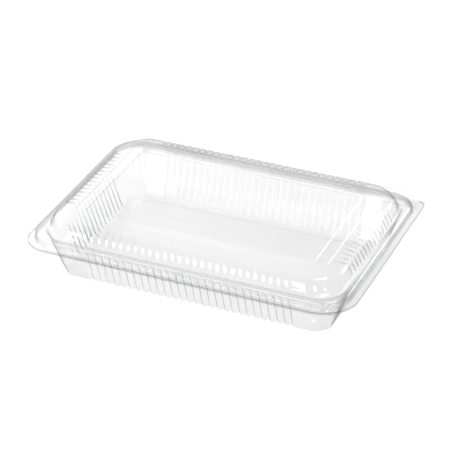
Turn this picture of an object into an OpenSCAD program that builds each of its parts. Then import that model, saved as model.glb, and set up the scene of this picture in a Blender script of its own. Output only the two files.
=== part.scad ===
// Clear clamshell pack: one formed sheet that is folded along a ribbed hinge into a tray and a lid.
// Millimetres, +Z up, front towards -Y, hinge towards +Y, the tray's floor stands on Z = 0.

/* [Pack] */
// Length of the flange, left to right
pack_length = 240; // [190:1:300]
// Depth of the flange, front edge to hinge edge
pack_depth = 167; // [150:1:220]
// Thickness of the formed sheet
sheet = 0.4; // [0.3:0.05:0.5]
// Height of the plane where tray and lid meet, above the table
split_height = 29; // [22:0.5:45]

/* [Flange and rim] */
// Air between the tray's flange and the lid's flange
flange_gap = 0.6; // [0.5:0.1:1]
// Width of the lid's flat flange
flange_width = 3.9; // [3:0.1:6]
// Height of the lid's raised rim above the split
rim_height = 6.6; // [5.5:0.1:9]
// How far the rim's wall leans in over its height
rim_lean = 0.6; // [0.3:0.1:1]
// Width of the rounding at the rim's outer top edge
rim_round = 1.5; // [1:0.1:2]
// Clearance between the tray's rim and the lid's rim around it
rim_clearance = 0.35; // [0.3:0.05:0.5]
// Distance from the flange edge to the foot of the lid's shoulder
ledge_inset = 10.3; // [9.5:0.1:14]
// Plan radius of the formed rim at the corners
rim_radius = 18; // [14:0.5:24]
// Plan radius of the trimmed flange at the front left corner
trim_front_left = 20; // [12:0.5:26]
// Plan radius of the trimmed flange at the front right corner
trim_front_right = 26; // [12:0.5:28]

/* [Snap] */
// Width of the snap dimple in the middle of the front rim
snap_width = 8; // [6:0.5:12]
// Depth of the snap dimple
snap_depth = 0.9; // [0.4:0.1:1.2]

/* [Lid] */
// Height of the lid's outer shoulder line above the split
shoulder_height = 13.2; // [11:0.1:20]
// How far the shoulder's wall leans in
shoulder_lean = 1; // [0.5:0.1:3]
// Size of the rounding between shoulder and top
elbow = 2.4; // [2:0.1:4]
// Rise of the lid's top border from the elbow to the window
border_rise = 0.4; // [0.3:0.1:2]
// Distance from the flange edge to the outer window line
window_inset = 25.9; // [24:0.1:34]
// Plan radius of the outer window line
window_radius = 13; // [8:0.5:18]
// Width of the border between the outer window line and the flat panel
window_border = 8.6; // [6:0.1:14]
// Height of the small step at each window line
window_step = 0.5; // [0.3:0.1:1]

/* [Tray] */
// Lean of the tray's walls from upright, degrees
wall_lean = 18; // [10:0.5:22]
// Length of the straight cut at the floor's corners, along each side
floor_cut = 8; // [5:0.5:12]
// Width of the floor's foot, from the flutes in to the raised middle
floor_foot = 5; // [3:0.5:10]
// Rise of the floor's middle above its foot
floor_rise = 0.6; // [0.3:0.1:1.5]
// Plan radius of the raised middle
floor_radius = 12; // [6:0.5:18]

/* [Flutes] */
// Distance from one flute to the next
flute_pitch = 5.5; // [4.5:0.1:8]
// Plain length of each side from the flange corner to the first flute
plain_run = 40; // [38:0.5:50]
// Depth of the valleys in the lid's shoulder
lid_flute = 1.8; // [0.8:0.1:2.2]
// Depth of the scallops at the tray's floor
tray_flute = 3; // [1.5:0.1:3.5]
// Height over which the scallops fade out at the top of the tray's wall
flute_fade = 4; // [3:0.5:6]

/* [Hinge] */
// Height of each hinge lip, from the split to the fold
hinge_lip = 6.2; // [5:0.1:9]
// Distance from the flange's left end to the hinge
hinge_left_margin = 17.5; // [9:0.5:30]
// Distance from the flange's right end to the hinge
hinge_right_margin = 7; // [6:0.5:30]
// Clearance between the hinge strip and the two lips
hinge_gap = 0.2; // [0.15:0.05:0.4]
// Depth of the ribs on the back of the hinge strip
rib_depth = 3.7; // [2:0.1:5]
// Width of each rib
rib_width = 2.6; // [1.6:0.1:3.4]
// Flat margin above and below the ribs
rib_margin = 0.3; // [0.3:0.1:2]
// Height of the shallow bead in the strip's plain ends
bead_height = 2; // [1.2:0.1:4]
// Depth of that bead
bead_depth = 0.8; // [0.6:0.1:1.5]

/* [Hidden] */

sheet_colour = [0.86, 0.9, 0.92, 0.45];
half_length = pack_length / 2;
half_depth = pack_depth / 2;
// the pack is moved so that its box is centred on the origin, hinge ribs included
back_shift = -(hinge_gap + sheet + rib_depth) / 2;
// straight pieces in each rounded corner
corner_steps = 6;
long_flutes = floor((pack_length - 2 * plain_run) / flute_pitch);
short_flutes = floor((pack_depth - 2 * plain_run) / flute_pitch);
hinge_left = half_length - hinge_left_margin;
hinge_right = half_length - hinge_right_margin;
// the hinge lips fall off to the flange over this length at their ends
end_slant = 0.3;
// the trimmed corners beside the hinge start this far past its ends
trim_start = 0.8;
trim_radii = [
    trim_front_left,
    trim_front_right,
    hinge_right_margin - trim_start,
    hinge_left_margin - trim_start
];

// heights and insets that both shells share, measured from the split and from the flange edge
lid_flange = flange_gap / 2 + sheet;
tray_flange = -flange_gap / 2;
// height of the rim's rounded top
rim_crown = 1;
rim_knee = rim_height - rim_crown;
tray_drop = sheet + rim_clearance;
tray_rim_top = rim_height - tray_drop;
tray_rim_knee = rim_knee - rim_clearance;
tray_rim_inset = flange_width + sheet + rim_clearance;
// both flanges dip this far at the snap, and the rims' feet a little less
flange_dip = 0.3;
foot_dip = 0.2;

// the lid's shoulder: its foot on the ledge, its wall and its elbow
ledge_rise = 0.3;
ledge_top = rim_height + ledge_rise;
foot_run = 0.7;
foot_rise = 1.5;
shoulder_inset = ledge_inset + foot_run + shoulder_lean;
shoulder_radius = rim_radius + 7;
elbow_inset = shoulder_inset + elbow * 4 / 3;
elbow_top = shoulder_height + elbow;
elbow_flute = [lid_flute / 3, -lid_flute * 0.6];

// the lid's border and its two window lines; the valleys end a little before the first
border_top = elbow_top + border_rise;
window_lead = 2;
step_run = 0.8;
panel_inset = window_inset + window_border;
panel_rise = 0.5;
panel_foot = border_top + window_step + panel_rise;
panel_radius = 1.5;

// the tray's mouth lies a little inside the lid's ledge, and its wall leans in from there
mouth_set = 0.3;
tray_mouth_inset = ledge_inset - mouth_set;
tray_mouth_height = tray_rim_knee - mouth_set;
mouth_radius = rim_radius + 2;
wall_slope = tan(wall_lean);
function wall_inset(height) = tray_mouth_inset + (tray_mouth_height - height) * wall_slope;

// the scallops start at this height above the split, and have this share of their depth below the fade
scallop_top = 1;
scallop_foot = scallop_top - flute_fade;
scallop_share = 0.75;
floor_height = sheet - split_height;
foot_inset = wall_inset(floor_height) + tray_flute + floor_foot;
floor_step = 1;

// A station is one line round the sheet: its inset, height, corner radii, kind and local displacement.
function plain(inset, height, radius) =
    [inset, height, radius, "plain", [0, 0], [0, 0]];
function fluted(inset, height, radius, flute) =
    [inset, height, radius, "fluted", flute, [0, 0]];
function spaced(inset, height, radius) =
    [inset, height, radius, "spaced", [0, 0], [0, 0]];
function cut_corner(inset, height, cut, flute) =
    [inset, height, cut, "cut", flute, [0, 0]];
function rim(inset, height, radius, snap) =
    [inset, height, radius, "rim", snap, [0, 0]];
function edge(inset, height, lip) =
    [inset, height, trim_radii, "edge", [0, -flange_dip], lip];

no_lip = [0, 0];
no_flute = [0, 0];
snap_foot = [snap_depth / 2, -foot_dip];
snap_middle = [snap_depth, 0];
snap_top = [0, 0];
lid_stations = [
    edge(0, lid_flange, no_lip),
    rim(flange_width, lid_flange, rim_radius, snap_foot),
    rim(flange_width + rim_lean / 2, rim_knee / 2, rim_radius, snap_middle),
    rim(flange_width + rim_lean, rim_knee, rim_radius, snap_top),
    plain(flange_width + rim_lean + rim_round, rim_height, rim_radius + rim_round),
    fluted(ledge_inset, ledge_top, shoulder_radius - foot_run, no_flute),
    fluted(ledge_inset + foot_run, ledge_top + foot_rise, shoulder_radius, [lid_flute, 0]),
    fluted(shoulder_inset, shoulder_height, shoulder_radius, [lid_flute, 0]),
    fluted(elbow_inset, elbow_top, shoulder_radius - elbow, elbow_flute),
    fluted(window_inset - window_lead, border_top, window_radius + window_lead, no_flute),
    plain(window_inset, border_top, window_radius),
    plain(window_inset + step_run, border_top + window_step, window_radius - step_run),
    plain(panel_inset, panel_foot, panel_radius),
    plain(panel_inset + step_run, panel_foot + window_step, panel_radius - step_run)
];

tray_stations = [
    edge(0, tray_flange, no_lip),
    rim(tray_rim_inset, tray_flange, rim_radius, snap_foot),
    rim(tray_rim_inset + rim_lean / 2, tray_rim_knee / 2, rim_radius, snap_middle),
    rim(tray_rim_inset + rim_lean, tray_rim_knee, rim_radius, snap_top),
    plain(tray_rim_inset + rim_lean + rim_round, tray_rim_top, rim_radius + rim_crown),
    plain(tray_mouth_inset - rim_crown, tray_rim_top, mouth_radius),
    plain(tray_mouth_inset, tray_mouth_height, mouth_radius),
    fluted(wall_inset(scallop_top), scallop_top, mouth_radius, no_flute),
    fluted(wall_inset(scallop_foot), scallop_foot, rim_radius, [tray_flute * scallop_share, 0]),
    cut_corner(wall_inset(floor_height), floor_height, floor_cut, [tray_flute, 0]),
    spaced(foot_inset, floor_height, floor_radius),
    plain(foot_inset + floor_step, floor_height + floor_rise, floor_radius - floor_step)
];

// half the width of a valley and of a tip, and how far a tip stands out, as shares of pitch and depth
valley_half = 0.4;
tip_half = 0.3;
tip_out = 0.3;

// The flute lines of one side, as [place along the side, share of the full displacement].
function flute_middle(count, m) = (m - (count - 1) / 2) * flute_pitch;
function flute_lines(count) = [for (m = [0:count - 1]) [flute_middle(count, m), 0]];
function lid_flutes(count) = [
    for (m = [0:count - 1])
        for (s = [[-valley_half, 0], [0, 1], [valley_half, 0]])
            [flute_middle(count, m) + s[0] * flute_pitch, s[1]]
];
function tray_flutes(count) = [
    [flute_middle(count, 0) - tip_half * flute_pitch, 0],
    for (m = [0:count - 1])
        for (s = m < count - 1
                ? [[0, -tip_out], [tip_half, 1 - tip_out], [1 - tip_half, 1 - tip_out]]
                : [[0, -tip_out], [tip_half, 0]])
            [flute_middle(count, m) + s[0] * flute_pitch, s[1]]
];

// Extra points of a rim line at the snap and of an edge line at the hinge, in the same form.
function snap_points() = [for (s = [-1:0.5:1]) [s * snap_width / 2, pow(cos(90 * s), 2)]];
function lip_points() = [
    [-hinge_right - end_slant, 0],
    [-hinge_right, 1],
    [hinge_left, 1],
    [hinge_left + end_slant, 0]
];

// Round a ring each corner takes this share of a key step, and each side this much about its middle.
corner_share = 0.2;
side_middle = 0.6;
side_share = 0.39;
// keys that are closer than this count as equal
key_tie = 0.000001;

// Corners 0 to 3 are front left, front right, back right and back left; side k follows corner k.
side_x = [-1, 1, 1, -1];
side_y = [-1, -1, 1, 1];
along = [[1, 0], [0, 1], [-1, 0], [0, -1]];
outward = [[0, -1], [1, 0], [0, 1], [-1, 0]];
half_side = [half_length, half_depth, half_length, half_depth];
half_across = [half_depth, half_length, half_depth, half_length];

function corner_radius(radius, k) = is_list(radius) ? radius[k] : radius;

// A point of a ring is [x, y, z, key]; the key tells how far round the ring the point lies.
function corner_points(station, k) =
    let (
        steps = station[3] == "cut" ? 1 : corner_steps,
        r = corner_radius(station[2], k)
    )
    [for (j = [0:steps])
        let (turn = 180 + 90 * k + 90 * j / steps)
        [side_x[k] * (half_length - station[0] - r) + r * cos(turn),
         side_y[k] * (half_depth - station[0] - r) + r * sin(turn),
         station[1],
         k + corner_share * j / steps]];

function side_point(station, k, place, inward, upward) =
    let (
        p = along[k] * place + outward[k] * (half_across[k] - station[0] - inward),
        key = k + side_middle + side_share * place / half_side[k]
    )
    [p[0], p[1], station[1] + upward, key];

function side_points(station, k, flutes_long, flutes_short) =
    let (kind = station[3], shift = station[4], lip = station[5])
    kind == "edge" && k == 2
        ? [for (s = lip_points()) side_point(station, k, s[0], lip[0] * s[1], lip[1] * s[1])]
    : let (
        marks = kind == "fluted" || kind == "cut" ? (k % 2 == 0 ? flutes_long : flutes_short)
            : kind == "spaced" ? flute_lines(k % 2 == 0 ? long_flutes : short_flutes)
            : kind == "plain" || k > 0 ? []
            : snap_points()
    )
    [for (s = marks) side_point(station, k, s[0], shift[0] * s[1], shift[1] * s[1])];

function ring(station, flutes_long, flutes_short) = [
    for (k = [0:3])
        each concat(corner_points(station, k), side_points(station, k, flutes_long, flutes_short))
];

// The other face of the sheet: each station is moved by the thickness, square to the profile.
function direction(a, b) = let (d = [b[0] - a[0], b[1] - a[1]]) d / norm(d);
function across(d) = [d[1], -d[0]];
// how much shorter each leg of a corner cut at 45 degrees gets when its outline moves in by 1
cut_slope = 2 - sqrt(2);
function mitre(before, after) =
    let (a = across(before), b = across(after))
    (a + b) / (1 + a * b);
function thinner_radius(station, shift) =
    station[3] == "cut" ? station[2] - shift * cut_slope
    : is_list(station[2]) ? station[2]
    : station[2] - shift;
function other_face(stations) =
    let (
        last = len(stations) - 1,
        runs = concat([[1, 0]], [for (i = [1:last]) direction(stations[i - 1], stations[i])], [[1, 0]])
    )
    [for (i = [0:last])
        let (move = mitre(runs[i], runs[i + 1]) * sheet, s = stations[i])
        [s[0] + move[0], s[1] + move[1], thinner_radius(s, move[0]), s[3], s[4], s[5]]];

// Triangles between two neighbouring rings, which may have different numbers of points.
// Where both could step on, lead decides, so that the sheet's two faces have the same triangles.
function step_keys(points) =
    let (count = len(points))
    concat([for (i = [0:count - 1]) (points[i][3] + (i + 1 < count ? points[i + 1][3] : 4)) / 2], [9]);
function band(a, b, a_first, b_first, lead) =
    let (na = len(a), nb = len(b), ka = step_keys(a), kb = step_keys(b))
    [for (i = 0, j = 0; i + j < na + nb;
          step = ka[i] <= kb[j] + lead, i = step ? i + 1 : i, j = step ? j : j + 1)
        ka[i] <= kb[j] + lead
            ? [a_first + i, a_first + (i + 1) % na, b_first + j % nb]
            : [a_first + i % na, b_first + (j + 1) % nb, b_first + j]];

function running_total(sizes) =
    [for (i = 0, total = 0; i <= len(sizes); total = total + (i < len(sizes) ? sizes[i] : 0), i = i + 1)
        total];

// A closed shell from rings that run from the top panel out to the edge and back underneath.
module shell(rings, edge_ring) {
    first = running_total([for (r = rings) len(r)]);
    last = len(rings) - 1;
    points = [for (r = rings) for (p = r) [p[0], p[1], p[2] + split_height]];
    top_panel = [for (i = [len(rings[0]) - 1:-1:0]) i];
    under_panel = [for (i = [0:len(rings[last]) - 1]) first[last] + i];
    bands = [
        for (i = [0:last - 1])
            each band(rings[i], rings[i + 1], first[i], first[i + 1], i < edge_ring ? key_tie : -key_tie)
    ];
    polyhedron(points, concat([top_panel], bands, [under_panel]), convexity = 12);
}

function backwards(list) = [for (i = [len(list) - 1:-1:0]) list[i]];

// The lips stand on the flange's edge along the hinge: up on the lid, down on the tray.
lid_lip_rise = hinge_lip - lid_flange;
lid_edge = [
    edge(sheet, lid_flange, no_lip),
    edge(sheet / 2, lid_flange, [sheet / 2, lid_lip_rise]),
    edge(0, lid_flange, [0, lid_lip_rise])
];
tray_under = tray_flange - sheet;
tray_lip_drop = -hinge_lip - tray_under;
tray_edge = [
    edge(0, tray_under, [0, tray_lip_drop]),
    edge(sheet / 2, tray_under, [sheet / 2, tray_lip_drop]),
    edge(sheet, tray_under, no_lip)
];

function without_first(list) = [for (i = [1:len(list) - 1]) list[i]];

module lid() {
    stations = concat(
        backwards(without_first(lid_stations)), lid_edge, other_face(lid_stations));
    long_side = lid_flutes(long_flutes);
    short_side = lid_flutes(short_flutes);
    color(sheet_colour)
    translate([0, back_shift, 0])
    shell([for (s = stations) ring(s, long_side, short_side)], len(lid_stations));
}

module tray() {
    stations = concat(
        backwards(tray_stations), tray_edge, without_first(other_face(tray_stations)));
    long_side = tray_flutes(long_flutes);
    short_side = tray_flutes(short_flutes);
    color(sheet_colour)
    translate([0, back_shift, 0])
    shell([for (s = stations) ring(s, long_side, short_side)], len(tray_stations));
}

// A ridge on the back of the strip with sloping ends; with grow it is the hollow behind that ridge.
module ridge(left, width, height, depth, slope, grow) {
    profile = [
        [-grow - sheet, -height / 2 + grow],
        [depth - grow, -height / 2 + slope + grow],
        [depth - grow, height / 2 - slope - grow],
        [-grow - sheet, height / 2 - grow]
    ];
    translate([left + grow, 0, 0])
    rotate([90, 0, 90])
    linear_extrude(width - 2 * grow)
    polygon(profile);
}

// how far a rib's ends and a bead's long edges slope in
rib_slope = 0.4;
bead_slope = bead_depth / 3;
// plain length between a bead and the strip's end
bead_end = 4;

module hinge_ridges(grow) {
    for (m = [0:long_flutes - 1]) {
        left = flute_middle(long_flutes, m) - rib_width / 2;
        ridge(left, rib_width, 2 * (hinge_lip - rib_margin), rib_depth, rib_slope, grow);
    }
    ribbed_end = long_flutes * flute_pitch / 2;
    left_bead = hinge_left - bead_end - ribbed_end;
    right_bead = hinge_right - bead_end - ribbed_end;
    ridge(-hinge_left + bead_end, left_bead, bead_height, bead_depth, bead_slope, grow);
    ridge(ribbed_end, right_bead, bead_height, bead_depth, bead_slope, grow);
}

module hinge_strip() {
    color(sheet_colour)
    translate([0, back_shift + half_depth + hinge_gap + sheet, split_height])
    difference() {
        union() {
            translate([-hinge_left, -sheet, -hinge_lip])
            cube([hinge_left + hinge_right, sheet, 2 * hinge_lip]);
            hinge_ridges(0);
        }
        hinge_ridges(sheet);
    }
}

tray();
hinge_strip();
lid();
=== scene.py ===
"""Looks of the clear clamshell pack: finer sheets over the CAD shells, clear film and a soft studio."""
import copy
import math

import bmesh
import bpy
import numpy as np
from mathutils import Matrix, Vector


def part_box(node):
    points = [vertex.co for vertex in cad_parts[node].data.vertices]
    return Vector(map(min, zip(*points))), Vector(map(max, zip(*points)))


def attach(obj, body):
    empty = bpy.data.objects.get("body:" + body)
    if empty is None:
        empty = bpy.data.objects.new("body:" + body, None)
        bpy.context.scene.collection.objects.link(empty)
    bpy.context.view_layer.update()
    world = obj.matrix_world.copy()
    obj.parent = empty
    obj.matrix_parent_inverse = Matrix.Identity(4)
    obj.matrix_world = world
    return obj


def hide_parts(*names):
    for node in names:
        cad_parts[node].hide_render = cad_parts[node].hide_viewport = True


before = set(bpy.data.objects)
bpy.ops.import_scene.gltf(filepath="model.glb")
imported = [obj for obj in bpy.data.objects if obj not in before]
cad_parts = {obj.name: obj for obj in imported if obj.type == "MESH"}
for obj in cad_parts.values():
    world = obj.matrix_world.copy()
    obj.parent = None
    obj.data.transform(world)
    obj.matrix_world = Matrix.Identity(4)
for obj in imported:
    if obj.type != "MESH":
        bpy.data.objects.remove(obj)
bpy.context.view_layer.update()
MM = 0.001

# Sizes in millimetres. Insets are from the flange's edge, and heights from the split between the flanges.
# The plan's sizes come from the frame, and the others are the CAD source's.
lid_low, lid_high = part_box("lid")
PACK_LENGTH = round((lid_high.x - lid_low.x) / MM, 2)
PACK_DEPTH = round((lid_high.y - lid_low.y) / MM, 2)
BACK_SHIFT = round((lid_high.y + lid_low.y) / 2 / MM, 2)
SPLIT_HEIGHT = 29.0
SHEET = 0.4
FLANGE_GAP = 0.6
FLANGE_WIDTH = 3.9
FLANGE_DIP = 0.3
RIM_HEIGHT = 6.6
RIM_LEAN = 0.6
RIM_ROUND = 1.5
RIM_CROWN = 1.0
RIM_CLEARANCE = 0.35
RIM_RADIUS = 18.0
RIM_KNEE = RIM_HEIGHT - RIM_CROWN
LEDGE_INSET = 10.3
LEDGE_RISE = 0.3
LEDGE_TOP = RIM_HEIGHT + LEDGE_RISE
LEDGE_RADIUS = 24.3
SNAP_WIDTH = 8.0
SNAP_DEPTH = 0.9
FOOT_DIP = 0.2
SNAP_FOOT = (SNAP_DEPTH / 2, -FOOT_DIP)
SNAP_MIDDLE = (SNAP_DEPTH, 0)
HINGE_LIP = 6.2
HINGE_LEFT_MARGIN = 17.5
HINGE_RIGHT_MARGIN = 7.0
HINGE_LEFT = PACK_LENGTH / 2 - HINGE_LEFT_MARGIN
HINGE_RIGHT = PACK_LENGTH / 2 - HINGE_RIGHT_MARGIN
TRIM_START = 0.8
TRIM_RADII = [20.0, 26.0, HINGE_RIGHT_MARGIN - TRIM_START, HINGE_LEFT_MARGIN - TRIM_START]
PITCH = 5.5
PLAIN_RUN = 40.0

# Corners 0 to 3 are front left, front right, back right and back left. Side k runs from corner k to the next.
FRONT, BACK = 0, 2
CORNERS = np.array([[-1, -1], [1, -1], [1, 1], [-1, 1]], float)
ALONG = np.array([[1, 0], [0, 1], [-1, 0], [0, -1]], float)
OUTWARD = np.array([[0, -1], [1, 0], [0, 1], [-1, 0]], float)
HALF_PLAN = np.array([PACK_LENGTH, PACK_DEPTH]) / 2
SIDE_LENGTHS = [PACK_LENGTH, PACK_DEPTH, PACK_LENGTH, PACK_DEPTH]
SIDE_SPANS = [PACK_DEPTH, PACK_LENGTH, PACK_DEPTH, PACK_LENGTH]
FLUTE_COUNTS = [math.floor((length - 2 * PLAIN_RUN) / PITCH) for length in SIDE_LENGTHS]
HALF_ARC = 7
PLAIN_POINTS = 6

# Points of half a flute, as shares of the pitch from its middle, with the groove's depth there as a share.
# On the sheet's inner face the lid's points move outwards by the spread, which keeps the flanks' thickness.
LID_PLACES = np.array([0, 0.15, 0.19, 0.22, 0.25, 0.38, 0.5])
LID_SHARES = np.array([1.03, 1, 0.8, 0.2, 0, -0.06, -0.1])
LID_SPREAD = np.array([0, 0.055, 0.06, 0.06, 0.055, 0.025, 0])
TRAY_PLACES = np.array([0, 0.085, 0.17, 0.26, 0.34, 0.5])
TRAY_SPREAD = 0.03
TRAY_FLANK = 0.44
TIP_OUT = 0.3
# The lifted ends of the ribs fade out over this share of the pitch at the outer flutes.
LIFT_FADE = 0.3


class Line:
    """One line round the sheet: inset, height, corner radius, and what departs from the plain outline.

    flute, snap and lip are shifts inward and upward, at the flutes, the front snap and the hinge's lip.
    cut is the leg of corners cut at 45 degrees, bevel the size of the bend's rounding, and lift the share
    of the flute by which the ribs stand out. A trimmed line has the flange's own corners.
    """

    def __init__(self, inset, height, radius=0.0, flute=(0, 0), snap=(0, 0), lip=(0, 0), cut=0.0,
                 bevel=0.0, lift=0.0, trimmed=False):
        self.inset, self.height, self.radius = inset, height, radius
        self.flute, self.snap, self.lip = flute, snap, lip
        self.cut, self.bevel, self.lift, self.trimmed = cut, bevel, lift, trimmed

    def corner_reach(self, k):
        """How much of its two sides corner k takes."""
        if self.trimmed:
            return TRIM_RADII[k % 4]
        return self.cut or self.radius

    def moved(self, run, rise):
        """The same line, moved inward by run and upward by rise."""
        other = copy.copy(self)
        other.inset += run
        other.height += rise
        if self.cut:
            other.cut -= run * (2 - math.sqrt(2))
        if not self.trimmed:
            other.radius -= run
        return other


def edge_line(inset, height, lip=(0, 0)):
    """A line of the flange's trimmed edge, which dips at the snap."""
    return Line(inset, height, snap=(0, -FLANGE_DIP), lip=lip, trimmed=True)


def lid_wave(u, inner):
    """Share of a groove's depth: flat grooves with steep flanks and crowned ribs between them."""
    return np.interp(u, LID_PLACES + LID_SPREAD * inner, LID_SHARES)


def tray_wave(u, inner):
    """Share of a scallop's depth: tips stand out, and the bites between them go in by the rest of it."""
    t = np.clip((u + TRAY_SPREAD * inner) / TRAY_FLANK, 0, 1)
    return t * t * (3 - 2 * t) - TIP_OUT


def flute_shares(place, count, wave, inner):
    """Shares of the flutes' depth along a side. The plain runs beyond the outer flutes stay at zero."""
    half = (count - 1) / 2
    nearest = np.clip(np.round(place / PITCH + half), 0, count - 1) - half
    share = wave(np.minimum(np.abs(place / PITCH - nearest), 0.5), inner)
    beyond = np.abs(place / PITCH) > half
    limit = np.maximum if wave is lid_wave else np.minimum
    return np.where(beyond, limit(share, 0), share)


def corner_points(line, k):
    """Points round corner k in plan, with three at its middle: an arc, or the ends of a straight cut."""
    corner = CORNERS[k] * (HALF_PLAN - line.inset)
    reach = line.corner_reach(k)
    if line.cut:
        before, after = corner - ALONG[k - 1] * reach, corner + ALONG[k] * reach
        return np.array([before] * (HALF_ARC + 1) + [(before + after) / 2] + [after] * (HALF_ARC + 1))
    first = np.linspace(0, math.pi / 4, HALF_ARC + 1)
    turns = math.pi + math.pi / 2 * k + np.concatenate([first, [math.pi / 4], math.pi / 2 - first[::-1]])
    return corner - CORNERS[k] * reach + reach * np.column_stack([np.cos(turns), np.sin(turns)])


def side_places(line, k, flute):
    """Places of the points along side k, from its middle: a plain run, the flutes and a plain run."""
    count = FLUTE_COUNTS[k]
    middles = (np.arange(count) - (count - 1) / 2) * PITCH
    flutes = np.append((middles[:, None] + flute * PITCH).ravel(), count / 2 * PITCH)
    if line.trimmed and k == BACK:
        lead = np.linspace(-HINGE_RIGHT, flutes[0], PLAIN_POINTS + 1)[:-1]
        tail = np.linspace(flutes[-1], HINGE_LEFT, PLAIN_POINTS + 1)[1:]
    else:
        end = SIDE_LENGTHS[k] / 2 - line.inset
        lead = np.linspace(line.corner_reach(k) - end, flutes[0], PLAIN_POINTS + 2)[1:-1]
        tail = np.linspace(flutes[-1], end - line.corner_reach(k + 1), PLAIN_POINTS + 2)[1:-1]
    return np.concatenate([lead, flutes, tail])


def side_points(line, k, flute, wave, inner):
    """Points along side k, shifted by the line's flutes, snap and lip."""
    place = side_places(line, k, flute)
    share = flute_shares(place, FLUTE_COUNTS[k], wave, inner)
    to_end = FLUTE_COUNTS[k] / 2 - LIFT_FADE - np.abs(place / PITCH)
    share = share - line.lift * np.clip(to_end / LIFT_FADE, 0, 1)
    shift = share[:, None] * np.array(line.flute, float)
    if k == FRONT:
        dip = np.cos(np.pi / 2 * np.clip(2 * place / SNAP_WIDTH, -1, 1)) ** 2
        shift += dip[:, None] * np.array(line.snap, float)
    if k == BACK:
        shift += np.array(line.lip, float)
    across = SIDE_SPANS[k] / 2 - line.inset - shift[:, 0]
    plan = place[:, None] * ALONG[k] + across[:, None] * OUTWARD[k]
    return np.column_stack([plan, line.height + shift[:, 1]])


def ring(line, wave, inner=0):
    """The line's points round the sheet, the same number for every line of a sheet."""
    half = LID_PLACES + LID_SPREAD * inner if wave is lid_wave else TRAY_PLACES
    flute = np.concatenate([-half[::-1], half[1:-1]])
    points = []
    for k in range(4):
        corner = corner_points(line, k)
        points.append(np.column_stack([corner, np.full(len(corner), line.height)]))
        points.append(side_points(line, k, flute, wave, inner))
    return np.vstack(points)


# A rounding takes at most this share of the profile between two lines.
LONGEST_ROUNDING = 0.45


def other_face(lines):
    """The same lines moved by the sheet's thickness, square to the profile."""
    profile = np.array([[line.inset, line.height] for line in lines])
    runs = np.diff(profile, axis=0)
    runs = np.vstack([[1, 0], runs / np.linalg.norm(runs, axis=1)[:, None], [1, 0]])
    normals = np.column_stack([runs[:, 1], -runs[:, 0]])
    moved = []
    for line, before, after in zip(lines, normals, normals[1:]):
        moved.append(line.moved(*((before + after) / (1 + before @ after) * SHEET)))
    return moved


def rounded(lines, wave, inner=0):
    """The rings of a run of lines, with each bend between them rounded over the line's bevel."""
    rings = [ring(line, wave, inner) for line in lines]
    profile = np.array([[line.inset, line.height] for line in lines])
    lengths = np.linalg.norm(np.diff(profile, axis=0), axis=1)
    smooth = [rings[0]]
    for i in range(1, len(lines) - 1):
        back_share = min(LONGEST_ROUNDING, lines[i].bevel / lengths[i - 1])
        ahead_share = min(LONGEST_ROUNDING, lines[i].bevel / lengths[i])
        before = rings[i] + (rings[i - 1] - rings[i]) * back_share
        after = rings[i] + (rings[i + 1] - rings[i]) * ahead_share
        smooth += [before, (before + 2 * rings[i] + after) / 4, after]
    return smooth + [rings[-1]]


# In metres: points nearer than the first are merged, and lower facets than the second are the cut edge.
MERGE_DISTANCE = 2e-6
CUT_HEIGHT = 0.0005
SHARP_BEND = math.radians(38)


def shell(name, rings, cut_band):
    """A closed mesh from rings that run from the middle out to the edge and back on the other face.

    The sheet's cut edge is in the two bands of facets that start at cut_band, beside the hinge's lip.
    """
    count = len(rings[0])
    points = (np.vstack(rings) + (0, BACK_SHIFT, SPLIT_HEIGHT)) * MM
    here = np.arange(count)
    beside = (here + 1) % count
    band = np.column_stack([here, beside, beside + count, here + count])
    quads = np.vstack([band + i * count for i in range(len(rings) - 1)])
    last = (len(rings) - 1) * count
    faces = quads.tolist() + [list(range(count - 1, -1, -1)), list(range(last, last + count))]
    mesh = bpy.data.meshes.new(name)
    mesh.from_pydata(points.tolist(), [], faces)
    edge = slice(cut_band * count, (cut_band + 2) * count)
    slots = np.zeros(len(faces), int)
    slots[edge] = np.ptp(points[quads[edge]][:, :, 2], axis=1) < CUT_HEIGHT
    mesh.polygons.foreach_set("material_index", slots)
    work = bmesh.new()
    work.from_mesh(mesh)
    bmesh.ops.remove_doubles(work, verts=work.verts, dist=MERGE_DISTANCE)
    bmesh.ops.recalc_face_normals(work, faces=work.faces)
    work.to_mesh(mesh)
    work.free()
    mesh.shade_smooth()
    mesh.set_sharp_from_angle(angle=SHARP_BEND)
    obj = bpy.data.objects.new(name, mesh)
    bpy.context.scene.collection.objects.link(obj)
    return obj


# The lid's lines: flange, rim, ledge, fluted shoulder, border and raised panel
# The shoulder, the flutes and the panel's steps depart from the CAD source by up to half a millimetre,
# because those edges catch the light.
LID_FLANGE = FLANGE_GAP / 2 + SHEET
SHOULDER_INSET = 12.4
SHOULDER_HEIGHT = 13.2
SHOULDER_RADIUS = RIM_RADIUS + 7
FOOT_RUN, FOOT_RISE = 0.6, 1.3
FOOT_FLUTE = 1.4
RIB_LIFT = 0.35
SHOULDER_FLUTE = 2.2
ELBOW = 2.4
ELBOW_INSET = 15.2
ELBOW_FLUTE = (0.6, -1.08)
BORDER_RISE = 0.4
BORDER_TOP = SHOULDER_HEIGHT + ELBOW + BORDER_RISE
WINDOW_INSET = 26.1
WINDOW_RADIUS = 12.8
WINDOW_LEAD = 2.2
WINDOW_BORDER = 8.6
STEP_RUN, STEP_RISE = 0.7, 0.5
PANEL_INSET = WINDOW_INSET + WINDOW_BORDER
PANEL_FOOT = BORDER_TOP + 2 * STEP_RISE
PANEL_TOP = PANEL_FOOT + STEP_RISE
PANEL_EDGE = 0.6
PANEL_RADII = (1.3, 0.8, 0.6)
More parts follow.
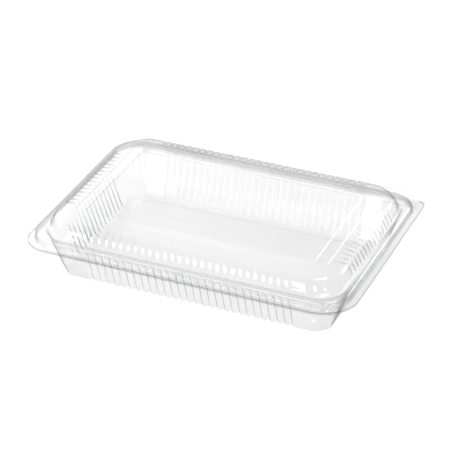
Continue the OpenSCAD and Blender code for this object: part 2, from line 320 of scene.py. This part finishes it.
lid_lines = [
    edge_line(0, LID_FLANGE),
    Line(FLANGE_WIDTH, LID_FLANGE, RIM_RADIUS, snap=SNAP_FOOT, bevel=0.7),
    Line(FLANGE_WIDTH + RIM_LEAN / 2, RIM_KNEE / 2, RIM_RADIUS, snap=SNAP_MIDDLE, bevel=0.9),
    Line(FLANGE_WIDTH + RIM_LEAN, RIM_KNEE, RIM_RADIUS, bevel=0.7),
    Line(FLANGE_WIDTH + RIM_LEAN + RIM_ROUND, RIM_HEIGHT, RIM_RADIUS + RIM_ROUND, bevel=0.9),
    Line(LEDGE_INSET, LEDGE_TOP, LEDGE_RADIUS, bevel=0.7),
    Line(LEDGE_INSET + FOOT_RUN, LEDGE_TOP + FOOT_RISE, SHOULDER_RADIUS, (FOOT_FLUTE, 0), bevel=0.6,
         lift=RIB_LIFT),
    Line(SHOULDER_INSET, SHOULDER_HEIGHT, SHOULDER_RADIUS, (SHOULDER_FLUTE, 0), bevel=1.1),
    Line(ELBOW_INSET, SHOULDER_HEIGHT + ELBOW, SHOULDER_RADIUS - ELBOW, ELBOW_FLUTE, bevel=1.8),
    Line(WINDOW_INSET - WINDOW_LEAD, BORDER_TOP, WINDOW_RADIUS + WINDOW_LEAD, bevel=1.2),
    Line(WINDOW_INSET, BORDER_TOP, WINDOW_RADIUS, bevel=0.15),
    Line(WINDOW_INSET + STEP_RUN, BORDER_TOP + STEP_RISE, WINDOW_RADIUS - STEP_RUN, bevel=0.15),
    Line(PANEL_INSET, PANEL_FOOT, PANEL_RADII[0], bevel=0.12),
    Line(PANEL_INSET + STEP_RUN, PANEL_TOP, PANEL_RADII[1], bevel=0.12),
    Line(PANEL_INSET + STEP_RUN + PANEL_EDGE, PANEL_TOP, PANEL_RADII[2]),
]

# The tray's lines: flange, rim that nests in the lid's, mouth, leaning wall, scalloped floor line and foot
# The scallops start more gently than in the CAD source, where they fade out on the wall.
TRAY_FLANGE = -FLANGE_GAP / 2
TRAY_RIM_INSET = FLANGE_WIDTH + SHEET + RIM_CLEARANCE
TRAY_RIM_KNEE = RIM_KNEE - RIM_CLEARANCE
TRAY_RIM_TOP = RIM_HEIGHT - SHEET - RIM_CLEARANCE
MOUTH_SET = 0.3
MOUTH_INSET = LEDGE_INSET - MOUTH_SET
MOUTH_HEIGHT = TRAY_RIM_KNEE - MOUTH_SET
MOUTH_RADIUS = RIM_RADIUS + 2
WALL_LEAN = math.radians(18)
SCALLOP_TOP, SCALLOP_FADE = 1.0, -3.0
TRAY_FLUTE = 3.0
FLOOR_HEIGHT = SHEET - SPLIT_HEIGHT
FLOOR_CUT = 8.0
FLOOR_FOOT = 5.0
FLOOR_RADIUS = 12.0
FLOOR_STEP = 1.0
FLOOR_RISE = 0.6
FLOOR_EDGE = 1.6
FLOOR_EDGE_RADIUS = 10.0


def wall_inset(height):
    """Inset of the tray's leaning wall at a height, to a hundredth of a millimetre."""
    return round(MOUTH_INSET + (MOUTH_HEIGHT - height) * math.tan(WALL_LEAN), 2)


FOOT_INSET = wall_inset(FLOOR_HEIGHT) + TRAY_FLUTE + FLOOR_FOOT
tray_lines = [
    edge_line(0, TRAY_FLANGE),
    Line(TRAY_RIM_INSET, TRAY_FLANGE, RIM_RADIUS, snap=SNAP_FOOT, bevel=0.7),
    Line(TRAY_RIM_INSET + RIM_LEAN / 2, TRAY_RIM_KNEE / 2, RIM_RADIUS, snap=SNAP_MIDDLE, bevel=0.9),
    Line(TRAY_RIM_INSET + RIM_LEAN, TRAY_RIM_KNEE, RIM_RADIUS, bevel=0.6),
    Line(TRAY_RIM_INSET + RIM_LEAN + RIM_ROUND, TRAY_RIM_TOP, RIM_RADIUS + RIM_CROWN, bevel=0.7),
    Line(MOUTH_INSET - RIM_CROWN, TRAY_RIM_TOP, MOUTH_RADIUS, bevel=0.6),
    Line(MOUTH_INSET, MOUTH_HEIGHT, MOUTH_RADIUS, bevel=0.6),
    Line(wall_inset(SCALLOP_TOP), SCALLOP_TOP, MOUTH_RADIUS, bevel=1.0),
    Line(wall_inset(SCALLOP_FADE), SCALLOP_FADE, RIM_RADIUS, (TRAY_FLUTE / 2, 0), bevel=1.5),
    Line(wall_inset(FLOOR_HEIGHT), FLOOR_HEIGHT, flute=(TRAY_FLUTE, 0), cut=FLOOR_CUT, bevel=0.9),
    Line(FOOT_INSET, FLOOR_HEIGHT, FLOOR_RADIUS, bevel=0.5),
    Line(FOOT_INSET + FLOOR_STEP, FLOOR_HEIGHT + FLOOR_RISE, FLOOR_RADIUS - FLOOR_STEP, bevel=0.5),
    Line(FOOT_INSET + FLOOR_STEP + FLOOR_EDGE, FLOOR_HEIGHT + FLOOR_RISE, FLOOR_EDGE_RADIUS),
]


def lid_sheet():
    """The lid's sheet. Its lip stands up from the flange's back edge."""
    top = rounded(lid_lines[::-1], lid_wave)
    rise = HINGE_LIP - LID_FLANGE
    lip = [
        ring(edge_line(SHEET, LID_FLANGE), lid_wave),
        ring(edge_line(SHEET / 2, LID_FLANGE, (SHEET / 2, rise)), lid_wave),
        ring(edge_line(0, LID_FLANGE, (0, rise)), lid_wave),
    ]
    under = rounded(other_face(lid_lines), lid_wave, 1)
    return shell("lid_sheet", top[:-1] + lip + under, len(top))


def tray_sheet():
    """The tray's sheet. Its lip hangs down from the flange's back edge."""
    top = rounded(tray_lines[::-1], tray_wave)
    under_flange = TRAY_FLANGE - SHEET
    drop = -HINGE_LIP - under_flange
    lip = [
        ring(edge_line(0, under_flange, (0, drop)), tray_wave),
        ring(edge_line(SHEET / 2, under_flange, (SHEET / 2, drop)), tray_wave),
        ring(edge_line(SHEET, under_flange), tray_wave),
    ]
    under = rounded(other_face(tray_lines), tray_wave, 1)
    return shell("tray_sheet", top + lip + under[1:], len(top) - 1)


WHITE = (1, 1, 1, 1)


def add_node(tree, kind, inputs=None, **settings):
    """A new shader node. Each of its inputs gets a value, or a link from another node's output."""
    node = tree.nodes.new("ShaderNode" + kind)
    for name, setting in settings.items():
        setattr(node, name, setting)
    for socket, value in (inputs or {}).items():
        if isinstance(value, bpy.types.NodeSocket):
            tree.links.new(value, node.inputs[socket])
        else:
            node.inputs[socket].default_value = value
    return node


def maths(tree, operation, *values):
    """The result of a calculation with numbers or other nodes' outputs."""
    return add_node(tree, "Math", dict(enumerate(values)), operation=operation).outputs[0]


def ramp(tree, value, start, end, low, high):
    """A smooth change from low to high while the value goes from start to end."""
    inputs = {"Value": value, "From Min": start, "From Max": end, "To Min": low, "To Max": high}
    return add_node(tree, "MapRange", inputs, interpolation_type="SMOOTHSTEP").outputs["Result"]


def new_material(name):
    """A material without nodes, and its node tree."""
    material = bpy.data.materials.new(name)
    material.use_nodes = True
    material.node_tree.nodes.clear()
    return material, material.node_tree


# Clear film mirrors this share of the light face on, and all of it edge on, by Schlick's fifth power.
# At this blend the layer weight's facing is one less the cosine of the angle, as that formula needs.
MIRROR_SHARE = 0.04
SCHLICK_POWER = 5.0
COSINE_BLEND = 0.5
# The film's slow waves and fine grain: scale, detail, and the grain's share of the relief
SLOW_WAVES = {"Scale": 28.0, "Detail": 1.5}
FINE_GRAIN = {"Scale": 260.0, "Detail": 2.0}
GRAIN_SHARE = 0.05
# The roughness varies over the grain between these shares of its value.
ROUGHNESS_SPREAD = (0.7, 1.6)


def clear_film(name, tint, edge_on_shade, roughness, wave_height, shine=1.0):
    """Thin clear film: it lets light straight through, and mirrors more of it the more it is seen edge on."""
    material, tree = new_material(name)
    place = add_node(tree, "TexCoord").outputs["Object"]
    slow = add_node(tree, "TexNoise", {"Vector": place, **SLOW_WAVES}).outputs["Fac"]
    fine = add_node(tree, "TexNoise", {"Vector": place, **FINE_GRAIN}).outputs["Fac"]
    relief = {"Strength": 1.0, "Distance": wave_height}
    relief["Height"] = maths(tree, "MULTIPLY_ADD", fine, GRAIN_SHARE, slow)
    normal = add_node(tree, "Bump", relief).outputs["Normal"]
    low, high = [roughness * share for share in ROUGHNESS_SPREAD]
    uneven = add_node(tree, "MapRange", {"Value": fine, "To Min": low, "To Max": high})
    facing = add_node(tree, "LayerWeight", {"Blend": COSINE_BLEND, "Normal": normal}).outputs["Facing"]
    grazing = maths(tree, "POWER", facing, SCHLICK_POWER)
    share = maths(tree, "MULTIPLY_ADD", grazing, (1 - MIRROR_SHARE) * shine, MIRROR_SHARE * shine)
    # Edge on, the clear colour darkens: a longer path in the sheet, and mostly painted shade for refraction's
    # dark lines.
    colours = {"Factor": grazing, "A": (*tint, 1), "B": (*edge_on_shade, 1)}
    shade = add_node(tree, "Mix", colours, data_type="RGBA")
    colour = [socket for socket in shade.outputs if socket.type == "RGBA"][0]
    clear = add_node(tree, "BsdfTransparent", {"Color": colour}).outputs[0]
    gloss = {"Color": WHITE, "Roughness": uneven.outputs["Result"], "Normal": normal}
    mirror = add_node(tree, "BsdfGlossy", gloss).outputs[0]
    film = add_node(tree, "MixShader", {0: share, 1: clear, 2: mirror}).outputs[0]
    add_node(tree, "OutputMaterial", {"Surface": film})
    return material


# Each film's second colour is its painted shade edge on.
lid_film = clear_film("lid_film", (0.963, 0.963, 0.964), (0.58, 0.583, 0.586), 0.05, 0.00012)
tray_film = clear_film("tray_film", (0.983, 0.983, 0.984), (0.8, 0.803, 0.806), 0.05, 0.00012)
hinge_film = clear_film("hinge_film", (1.0, 1.0, 1.0), (0.95, 0.955, 0.96), 0.05, 0.00008, shine=0.4)
# The cut edge's dark grey is painted shade, for the dark line that refraction draws along a sheet's cut edge.
cut_edge = clear_film("cut_edge", (0.4, 0.41, 0.42), (0.3, 0.31, 0.32), 0.2, 0.00004)

for sheet, body, film in ((lid_sheet(), "lid", lid_film), (tray_sheet(), "tray", tray_film)):
    sheet.data.materials.append(film)
    sheet.data.materials.append(cut_edge)
    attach(sheet, body)
    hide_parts(body)

# The hinge strip keeps its CAD mesh, with edges that a bevel softens.
EDGE_SOFTNESS = 0.00025
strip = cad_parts["hinge_strip"]
strip.data.materials.clear()
strip.data.materials.append(hinge_film)
soft_edges = strip.modifiers.new("soft_edges", "BEVEL")
soft_edges.width = EDGE_SOFTNESS
soft_edges.segments = 2
soft_edges.limit_method = "ANGLE"
soft_edges.angle_limit = math.radians(30)

# The studio's floor in metres, a little below the pack's foot. A fade is a start, an end and two levels.
FLOOR_HALF = 4.0
FLOOR_DROP = 0.0002
# The floor's colour darkens far from the pack, a painted pool of light whose dark rim the film mirrors.
FLOOR_PAINTED_POOL = (0.5, 0.8, 0.85, 0.1)
FLOOR_WHITE = (0.35, 0.8, 0.56, 0.95)
# A painted glow, seen only in reflections, on an oval of the floor: middle, half sizes and edge fade.
PATCH_MIDDLE = (0.02, 0.03)
PATCH_HALF = (0.105, 0.055)
PATCH_FADE = (0.8, 1.2, 1.0, 0.0)


def white_floor():
    """A pale floor that renders white, keeps the pack's shadow and has a painted pool of light and glow."""
    mesh = bpy.data.meshes.new("floor")
    corners = [(x * FLOOR_HALF, y * FLOOR_HALF, 0) for x, y in CORNERS]
    mesh.from_pydata(corners, [], [(0, 1, 2, 3)])
    floor = bpy.data.objects.new("floor", mesh)
    bpy.context.scene.collection.objects.link(floor)
    floor.location.z = -FLOOR_DROP
    material, tree = new_material("floor_white")
    place = add_node(tree, "TexCoord").outputs["Object"]
    away = add_node(tree, "VectorMath", {0: place}, operation="LENGTH").outputs["Value"]
    scales = (1 / PATCH_HALF[0], 1 / PATCH_HALF[1], 0)
    offset = (-PATCH_MIDDLE[0] / PATCH_HALF[0], -PATCH_MIDDLE[1] / PATCH_HALF[1], 0)
    oval = add_node(tree, "VectorMath", {0: place, 1: scales, 2: offset}, operation="MULTIPLY_ADD").outputs[0]
    from_middle = add_node(tree, "VectorMath", {0: oval}, operation="LENGTH").outputs["Value"]
    rays = add_node(tree, "LightPath").outputs
    # Only reflections see this painted glow.
    mirrored_glow = maths(tree, "MULTIPLY", rays["Is Glossy Ray"], ramp(tree, from_middle, *PATCH_FADE))
    white = ramp(tree, away, *FLOOR_WHITE)
    strength = maths(tree, "MULTIPLY_ADD", rays["Is Camera Ray"], white, mirrored_glow)
    # The floor's colour here is the painted pool of light.
    matt = add_node(tree, "BsdfDiffuse", {"Color": ramp(tree, away, *FLOOR_PAINTED_POOL)}).outputs[0]
    glow = add_node(tree, "Emission", {"Color": WHITE, "Strength": strength}).outputs[0]
    both = add_node(tree, "AddShader", {0: matt, 1: glow}).outputs[0]
    add_node(tree, "OutputMaterial", {"Surface": both})
    mesh.materials.append(material)


# The room is palest in this direction, and its brightness changes over the cosines from it.
PALE_SIDE = Vector((-1, 0.45, 0.1)).normalized()
ROOM_FADE = (-0.2, 0.9, 0.09, 0.66)
# Soft windows in the room: azimuth from +X towards +Y and half width in degrees, the heights of the lower
# and upper edge as sines, and the brightness.
WINDOWS = [
    (-112.0, 18.0, 0.07, 0.40, 5.5),
    (152.0, 36.0, 0.15, 0.75, 0.85),
    (-63.5, 3.5, 0.10, 0.30, 16.0),
    (-35.0, 4.0, 0.08, 0.28, 12.0),
    (66.0, 16.0, 0.40, 0.66, 3.0),
]
# A window's sides fade between these shares of its half width, and its lower and upper edge over this sine.
WINDOW_SIDES = (1.25, 0.8)
WINDOW_SOFTNESS = 0.02


def studio_world():
    """A room that is palest at the back left, with soft windows. Where the camera sees it, it is white."""
    world = bpy.data.worlds.new("studio")
    bpy.context.scene.world = world
    world.use_nodes = True
    tree = world.node_tree
    tree.nodes.clear()
    ray = add_node(tree, "TexCoord").outputs["Generated"]

    def along(vector, direction):
        inputs = {0: vector, 1: direction}
        return add_node(tree, "VectorMath", inputs, operation="DOT_PRODUCT").outputs["Value"]

    flat = add_node(tree, "VectorMath", {0: ray, 1: (1, 1, 0)}, operation="MULTIPLY").outputs[0]
    heading = add_node(tree, "VectorMath", {0: flat}, operation="NORMALIZE").outputs[0]
    height = along(ray, (0, 0, 1))
    total = ramp(tree, along(ray, PALE_SIDE), *ROOM_FADE)
    for azimuth, half, low, high, brightness in WINDOWS:
        turn = math.radians(azimuth)
        outer, inner = [math.cos(math.radians(half * share)) for share in WINDOW_SIDES]
        middle = (math.cos(turn), math.sin(turn), 0)
        wide = ramp(tree, along(heading, middle), outer, inner, 0, brightness)
        above = ramp(tree, height, low - WINDOW_SOFTNESS, low + WINDOW_SOFTNESS, 0, 1)
        below = ramp(tree, height, high + WINDOW_SOFTNESS, high - WINDOW_SOFTNESS, 0, 1)
        window = maths(tree, "MULTIPLY", wide, maths(tree, "MULTIPLY", above, below))
        total = maths(tree, "ADD", total, window)
    seen = add_node(tree, "LightPath").outputs["Is Camera Ray"]
    room = add_node(tree, "Background", {"Color": total}).outputs[0]
    plain = add_node(tree, "Background", {"Color": WHITE}).outputs[0]
    mixed = add_node(tree, "MixShader", {0: seen, 1: room, 2: plain}).outputs[0]
    add_node(tree, "OutputWorld", {"Surface": mixed})


def soft_light(name, place, target, side, watts):
    """A square soft lamp that faces its target and isn't seen itself."""
    data = bpy.data.lights.new(name, "AREA")
    data.shape = "RECTANGLE"
    data.size = data.size_y = side
    data.energy = watts
    lamp = bpy.data.objects.new(name, data)
    bpy.context.scene.collection.objects.link(lamp)
    lamp.location = place
    lamp.rotation_euler = (Vector(target) - Vector(place)).to_track_quat("-Z", "Y").to_euler()
    lamp.visible_camera = False


white_floor()
studio_world()
soft_light("key_light", place=(0.2, 0.25, 1.15), target=(0, 0, 0.03), side=0.35, watts=2.2)

# The camera that was fitted to the photograph: its focal length and shift are in the photograph's pixels.
AZIMUTH, ELEVATION = math.radians(23.15), math.radians(30.89)
DISTANCE = 1.461
TARGET = Vector((0, BACK_SHIFT * MM, 0.020))
PHOTO_WIDTH = 452.0
FOCAL_LENGTH = 2082.0
SHIFT_X, SHIFT_Y = 0.3, 10.4
back = Vector((math.sin(AZIMUTH) * math.cos(ELEVATION), -math.cos(AZIMUTH) * math.cos(ELEVATION),
               math.sin(ELEVATION)))
lens = bpy.data.cameras.new("camera")
lens.sensor_width = 36.0
lens.lens = FOCAL_LENGTH / PHOTO_WIDTH * lens.sensor_width
lens.shift_x = SHIFT_X / PHOTO_WIDTH
lens.shift_y = SHIFT_Y / PHOTO_WIDTH
camera = bpy.data.objects.new("camera", lens)
bpy.context.scene.collection.objects.link(camera)
camera.location = TARGET + back * DISTANCE
camera.rotation_euler = (-back).to_track_quat("-Z", "Y").to_euler()
bpy.context.scene.camera = camera
bpy.context.scene.view_settings.view_transform = "Standard"

# Light passes through many layers of film, and is mirrored a few times between them.
LAYERS = 40
MIRRORINGS = 8
bpy.context.scene.cycles.max_bounces = LAYERS
bpy.context.scene.cycles.transparent_max_bounces = LAYERS
bpy.context.scene.cycles.glossy_bounces = MIRRORINGS
